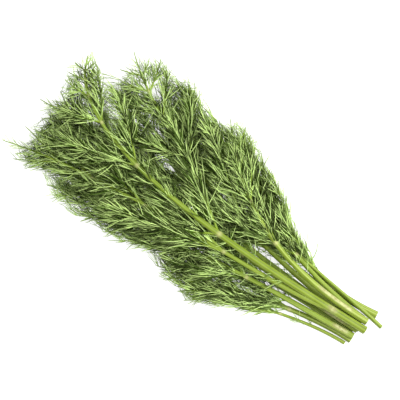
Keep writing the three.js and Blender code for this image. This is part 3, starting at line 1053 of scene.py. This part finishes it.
def noise(tree, scale):
    node = tree.nodes.new("ShaderNodeTexNoise")
    place = tree.nodes.new("ShaderNodeTexCoord")
    tree.links.new(place.outputs["Object"], node.inputs["Vector"])
    node.inputs["Scale"].default_value = scale
    node.inputs["Detail"].default_value = NOISE_DETAIL
    return node.outputs["Fac"]


def bump(tree, shader, height, strength, distance):
    node = tree.nodes.new("ShaderNodeBump")
    node.inputs["Strength"].default_value = strength
    node.inputs["Distance"].default_value = distance
    tree.links.new(height, node.inputs["Height"])
    tree.links.new(node.outputs["Normal"], shader.inputs["Normal"])


def thread_material():
    """Threads of every shade, paler at their tips, with painted light that pales them at the bunch's
    edge and painted shade that darkens them inside it.
    """
    material, tree, shader = node_material("dill_thread", roughness=0.7, specular=0.03)
    # random tone per thread; its near-black end is painted shade
    shade = ramp(tree, value_of(tree, "shade"), THREAD_SHADES)
    tips = blended(tree, scaled(tree, value_of(tree, "reach"), 0.2), shade, THREAD_TIP)
    # painted shade, darker the deeper a thread lies inside the bunch
    inside = blended(tree, scaled(tree, value_of(tree, "inner"), 0.8), tips, THREAD_PAINTED_SHADE)
    # painted light, paler the nearer a thread lies to the bunch's edge
    painted_edge_light = blended(tree, scaled(tree, value_of(tree, "edge"), 0.6), inside, THREAD_PAINTED_EDGE_LIGHT)
    tree.links.new(painted_edge_light, shader.inputs["Base Color"])
    return material


def stalk_material():
    """Green with paler and darker streaks along it, and pale nodes, sheaths and cut ends."""
    material, tree, shader = node_material("dill_stalk", roughness=0.5, specular=0.2)
    green = ramp(tree, value_of(tree, "along"), STALK_GREENS)
    toned = blended(tree, scaled(tree, value_of(tree, "tone"), 0.5), green, DARK_TONE)
    streak = value_of(tree, "streak")
    dark = blended(tree, scaled(tree, streak, -2.0, 0.8), toned, DARK_STREAK)
    pale = blended(tree, scaled(tree, streak, 2.0, -1.2), dark, PALE_STREAK)
    patches = blended(tree, scaled(tree, noise(tree, 90), 0.9, -0.35), pale, PALE_PATCH)
    nodes = blended(tree, scaled(tree, value_of(tree, "node"), 0.6), patches, NODE_COLOUR)
    mottling = scaled(tree, noise(tree, 300), 5.0, -2.0)
    papery = blended(tree, mottling, PALE_SHEATH, BROWN_SHEATH)
    sheaths = blended(tree, scaled(tree, value_of(tree, "sheath"), 0.75), nodes, papery)
    cut = blended(tree, value_of(tree, "pith"), sheaths, PITH)
    tree.links.new(cut, shader.inputs["Base Color"])
    bump(tree, shader, noise(tree, 1400), strength=0.15, distance=0.0002)
    return material


def floor_material():
    """A lit white table, on which shadows stay faint."""
    material, _, shader = node_material("floor", roughness=0.9, specular=0.1)
    shader.inputs["Base Color"].default_value = (FLOOR_GREY, FLOOR_GREY, FLOOR_GREY, 1)
    shader.inputs["Emission Color"].default_value = (1, 1, 1, 1)
    shader.inputs["Emission Strength"].default_value = FLOOR_GLOW
    return material


# ---------------------------------------------------------------- the scene around it
def add_camera():
    """Looks straight down, turned as the photograph is."""
    data = bpy.data.cameras.new("camera")
    data.sensor_width = SENSOR
    data.lens = SENSOR * CAMERA_HEIGHT / FIELD
    camera = bpy.data.objects.new("camera", data)
    x, y, z = CAMERA_TARGET
    camera.location = (x * MM, y * MM, (z + CAMERA_HEIGHT) * MM)
    camera.rotation_euler = (0, 0, CAMERA_TURN)
    bpy.context.scene.collection.objects.link(camera)
    bpy.context.scene.camera = camera


def add_floor():
    mesh = bpy.data.meshes.new("floor")
    signs = [(-1, -1), (1, -1), (1, 1), (-1, 1)]
    corners = [(x * FLOOR_HALF, y * FLOOR_HALF, FLOOR_LEVEL) for x, y in signs]
    mesh.from_pydata(corners, [], [(0, 1, 2, 3)])
    mesh.materials.append(floor_material())
    floor = bpy.data.objects.new("floor", mesh)
    bpy.context.scene.collection.objects.link(floor)


def add_area_light(name, place, size, power):
    """A square lamp that faces the bunch's middle."""
    data = bpy.data.lights.new(name, "AREA")
    data.size = size
    data.energy = power
    light = bpy.data.objects.new(name, data)
    light.location = place
    aim = -np.array(place) / np.linalg.norm(place)
    light.rotation_euler = (math.acos(-aim[2]), 0, math.atan2(aim[1], aim[0]) - math.pi / 2)
    bpy.context.scene.collection.objects.link(light)


def add_light():
    for light in LIGHTS:
        add_area_light(*light)
    world = bpy.data.worlds.new("studio")
    world.use_nodes = True
    background = world.node_tree.nodes["Background"]
    background.inputs["Color"].default_value = (1, 1, 1, 1)
    background.inputs["Strength"].default_value = WORLD_LIGHT
    bpy.context.scene.world = world
    bpy.context.scene.view_settings.view_transform = "Standard"


# ---------------------------------------------------------------- the bunch
def leafy_stem_skins(stem, leaves, stalks, canopy):
    """The skin of a leafy stem's stalks and cores, and that of its threads."""
    chance = np.random.default_rng(FIRST_SEED + stem)
    stalk_skin = Skin("along", "streak", "node", "sheath", "tone", "pith")
    thread_skin = Skin("shade", "reach", "inner", "edge")
    for one in leaves:
        add_stalk(stalk_skin, one, stem, chance)
        for spray in one["sprays"]:
            add_core(stalk_skin, spray, stem)
    add_foliage(thread_skin, leaves, stem, stalks, canopy, chance)
    return stalk_skin, thread_skin


def add_piece(skin, kind, number, material):
    piece = skin.piece(f"{kind}_{number}", material)
    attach(piece, "root")
    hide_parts(f"leafy_stem_{number}")


def build_bunch():
    strands, stalks = place_bunch()
    canopy = Canopy(strands)
    thread_finish = thread_material()
    stalk_finish = stalk_material()
    for s, leaves in enumerate(LEAFY_STEMS):
        stalk_skin, thread_skin = leafy_stem_skins(s, leaves, stalks, canopy)
        add_piece(stalk_skin, "stalk", s + 1, stalk_finish)
        add_piece(thread_skin, "foliage", s + 1, thread_finish)


add_camera()
add_floor()
add_light()
build_bunch()
